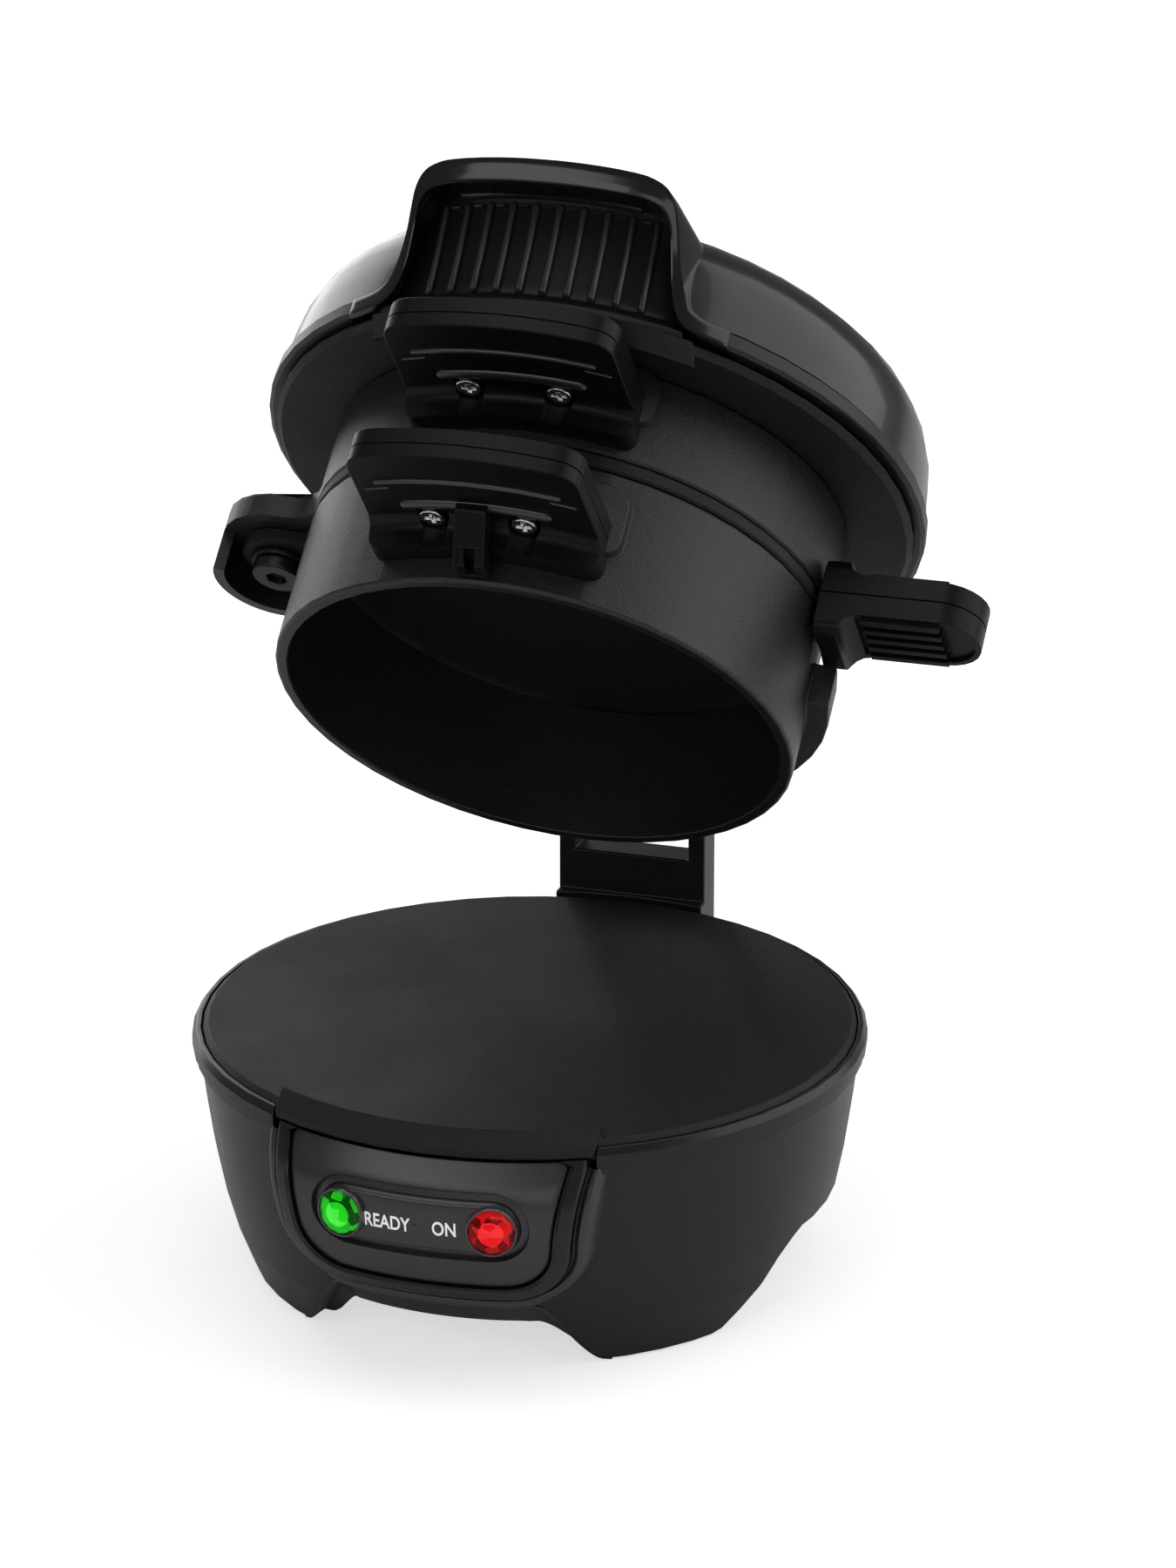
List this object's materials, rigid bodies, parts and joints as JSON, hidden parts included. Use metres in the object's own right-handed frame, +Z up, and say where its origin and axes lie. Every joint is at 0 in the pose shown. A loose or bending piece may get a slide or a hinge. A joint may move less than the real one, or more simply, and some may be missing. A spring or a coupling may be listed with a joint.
{
  "type": "breakfast sandwich maker",
  "caption": "Round countertop sandwich maker, open: heated base, hinged stack of cooking rings with a swing-out egg plate between them, heated lid.",
  "frame": {"origin": "centre of the lower heating plate's cooking face", "axes": "+Z up, square to the cooking face; -Y to the front, where the control panel is; +X to the right as seen from the front"},
  "size_m": [0.1745, 0.1939, 0.2462],
  "materials": {
    "satin_black": "satin black heat-resistant moulding",
    "gloss_black": "glossy black moulding",
    "nonstick": "matt black non-stick coating on a light casting",
    "steel": "bright steel",
    "dark_steel": "blackened steel",
    "heater": "dull heater sheath",
    "ceramic": "off-white ceramic",
    "rubber": "black rubber",
    "green_lens": "clear green moulding",
    "red_lens": "clear red moulding"
  },
  "bodies": {
    "base": {"base_shell": "satin_black", "base_trim_ring": "satin_black", "bottom_cover": "satin_black", "control_panel": "satin_black", "cord_gland": "rubber", "cover_screw_1": "dark_steel", "cover_screw_2": "dark_steel", "cover_screw_3": "dark_steel", "foot_pad_front_left": "rubber", "foot_pad_front_right": "rubber", "foot_pad_rear_left": "rubber", "foot_pad_rear_right": "rubber", "hinge_bracket": "satin_black", "hinge_pin": "steel", "lower_heating_element": "heater", "lower_heating_plate": "nonstick", "lower_thermostat": "ceramic", "panel_frame": "satin_black", "power_light": "red_lens", "ready_light": "green_lens"},
    "lower_ring": {"lower_ring": "satin_black", "lower_tab_top": "satin_black", "lower_tab_underside": "satin_black", "lower_tab_screw_left": "steel", "lower_tab_screw_right": "steel", "ring_clip": "satin_black"},
    "upper_ring": {"upper_ring": "satin_black", "upper_tab_top": "satin_black", "upper_tab_underside": "satin_black", "upper_tab_screw_left": "steel", "upper_tab_screw_right": "steel", "pivot_washer": "dark_steel", "plate_pivot_bolt": "dark_steel"},
    "egg_plate": {"egg_plate": "nonstick", "plate_handle_bottom": "satin_black", "plate_handle_top": "satin_black"},
    "lid": {"lid_shell": "gloss_black", "lid_trim_ring": "satin_black", "upper_heating_plate": "nonstick", "upper_heating_element": "heater", "upper_thermostat": "ceramic", "lid_handle": "gloss_black", "lid_grip_insert": "gloss_black", "lid_hinge_arm": "satin_black"}
  },
  "joints": [
    {"name": "lower_ring_hinge", "type": "hinge", "parent": "base", "child": "lower_ring", "pos_m": [0, 0.07785, 0.03115], "axis": [1, 0, 0], "range_deg": [-20, 47.64]},
    {"name": "upper_ring_hinge", "type": "hinge", "parent": "lower_ring", "child": "upper_ring", "pos_m": [0, 0.07785, 0.03115], "axis": [1, 0, 0], "range_deg": [-25, 0]},
    {"name": "lid_hinge", "type": "hinge", "parent": "upper_ring", "child": "lid", "pos_m": [0, 0.07785, 0.03115], "axis": [1, 0, 0], "range_deg": [-35, 0]},
    {"name": "egg_plate_pivot", "type": "hinge", "parent": "upper_ring", "child": "egg_plate", "pos_m": [-0.0665, 0.02758, 0.09066], "axis": [0, 0.7389, 0.6738], "range_deg": [-90, 0]}
  ]
}
